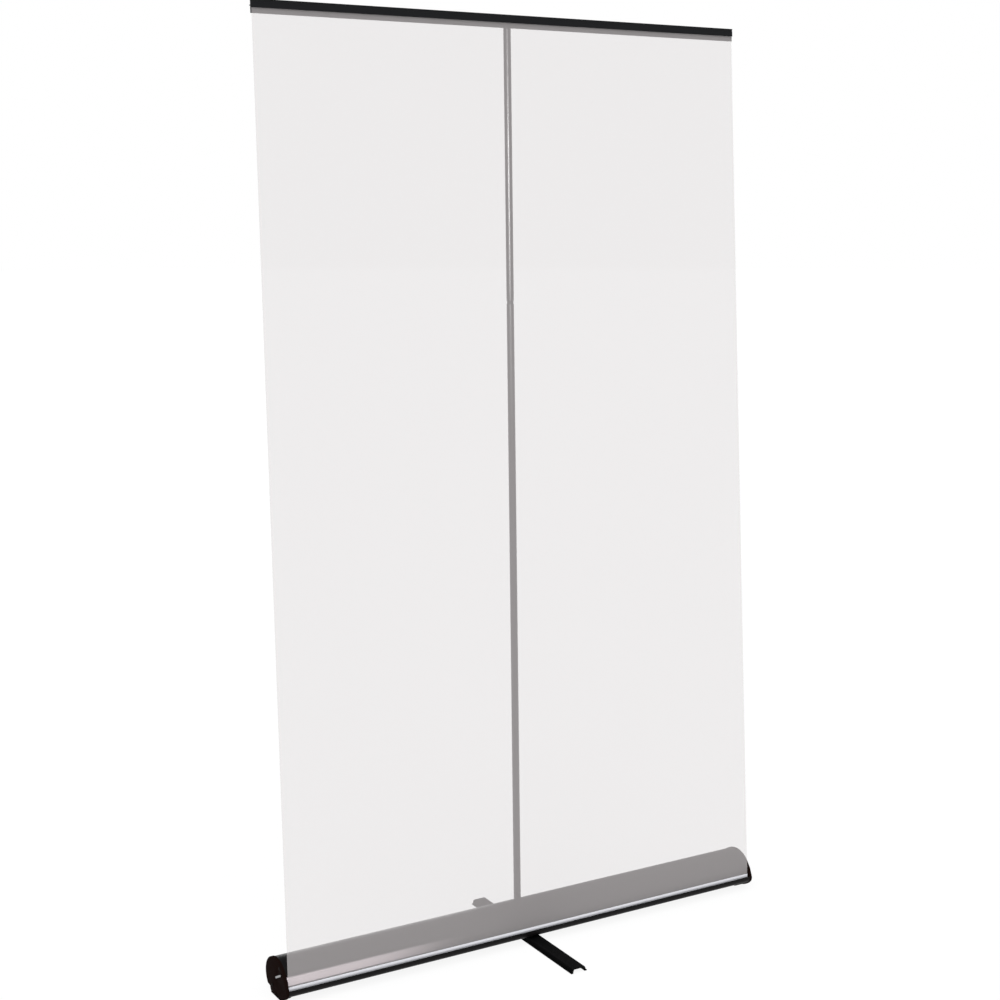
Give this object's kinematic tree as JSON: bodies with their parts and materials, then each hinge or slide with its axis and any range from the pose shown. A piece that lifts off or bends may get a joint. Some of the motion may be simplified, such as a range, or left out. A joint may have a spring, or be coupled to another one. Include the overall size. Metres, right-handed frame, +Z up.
{
  "type": "roll-up banner stand",
  "caption": "Free-standing roll-up banner stand with a sprung roller base, swivel foot, sectional pole, snap rail and blank translucent film.",
  "frame": {"origin": "on the floor, midway along the base and midway along the deployed foot", "axes": "+X along the base, -Y the side that is read, +Z up"},
  "size_m": [1.2186, 0.4314, 2.0473],
  "materials": {
    "housing": "black anodised extrusion, satin",
    "cap": "moulded plastic, brown-black",
    "rubber": "rubber",
    "steel": "zinc-plated steel",
    "black_steel": "black powder coat on steel",
    "roller": "mill-finish aluminium tube",
    "nylon": "moulded nylon",
    "leader": "opaque white leader film",
    "film": "translucent blank film",
    "pole": "black anodised tube, satin",
    "cord": "braided elastic cord",
    "rail": "black anodised extrusion, satin"
  },
  "bodies": {
    "base": {"housing_shell": "housing", "guide_strip": "housing", "guide_rod": "steel", "end_cap_left": "cap", "end_cap_right": "cap", "floor_pad_left": "rubber", "floor_pad_right": "rubber", "foot_bolt": "steel", "foot_washer": "nylon", "foot_nut": "steel", "foot_plate": "steel", "pole_socket": "nylon", "spring_spindle": "steel", "torsion_spring": "steel", "roller_bush": "nylon", "leader_sheet": "leader", "banner_film": "film", "cap_screw_left_upper": "black_steel", "cap_screw_left_lower": "black_steel", "socket_screw_left": "steel", "cap_screw_right_upper": "black_steel", "cap_screw_right_lower": "black_steel", "socket_screw_right": "steel", "plate_screw_1": "steel", "plate_screw_2": "steel", "plate_screw_3": "steel", "plate_screw_4": "steel"},
    "roller": {"roller_tube": "roller", "wound_leader": "leader", "roller_plug_left": "nylon", "roller_plug_right": "nylon"},
    "foot": {"foot_channel": "black_steel"},
    "lock_pin": {"roller_lock_pin": "steel"},
    "pole": {"pole_lower": "pole", "pole_middle": "pole", "pole_upper": "pole", "ferrule_lower": "pole", "ferrule_upper": "pole", "pole_bottom_plug": "nylon", "elastic_cord": "cord", "pole_hook": "nylon"},
    "rail": {"rail_back": "rail"},
    "jaw": {"rail_jaw": "rail"}
  },
  "joints": [
    {"name": "rail_travel", "type": "slide", "parent": "base", "child": "rail", "axis": [0, -0.0558, -0.9984], "range_m": [0, 1.96], "deforming": ["banner_film"]},
    {"name": "rail_jaw_hinge", "type": "hinge", "parent": "rail", "child": "jaw", "pos_m": [0, 0.07334, 2.0445], "axis": [-1, 0, 0], "range_deg": [0, 70]},
    {"name": "roller_spin", "type": "hinge", "parent": "base", "child": "roller", "pos_m": [0, 0.004, 0.045], "axis": [1, 0, 0], "continuous": true},
    {"name": "foot_swivel", "type": "hinge", "parent": "base", "child": "foot", "pos_m": [0, 0, 0.0106], "axis": [0, 0, 1], "range_deg": [0, 90]},
    {"name": "lock_pin_slide", "type": "slide", "parent": "base", "child": "lock_pin", "axis": [-1, 0, 0], "range_m": [-0.003, 0.02]},
    {"name": "pole_turn", "type": "hinge", "parent": "base", "child": "pole", "pos_m": [0, 0.04039, 0.0175], "axis": [0, 0.0245, 0.9997], "range_deg": [0, 90]}
  ],
  "couplings": [
    {"joint": "roller_spin", "follows": "rail_travel", "rad_per_m": 52.9}
  ]
}
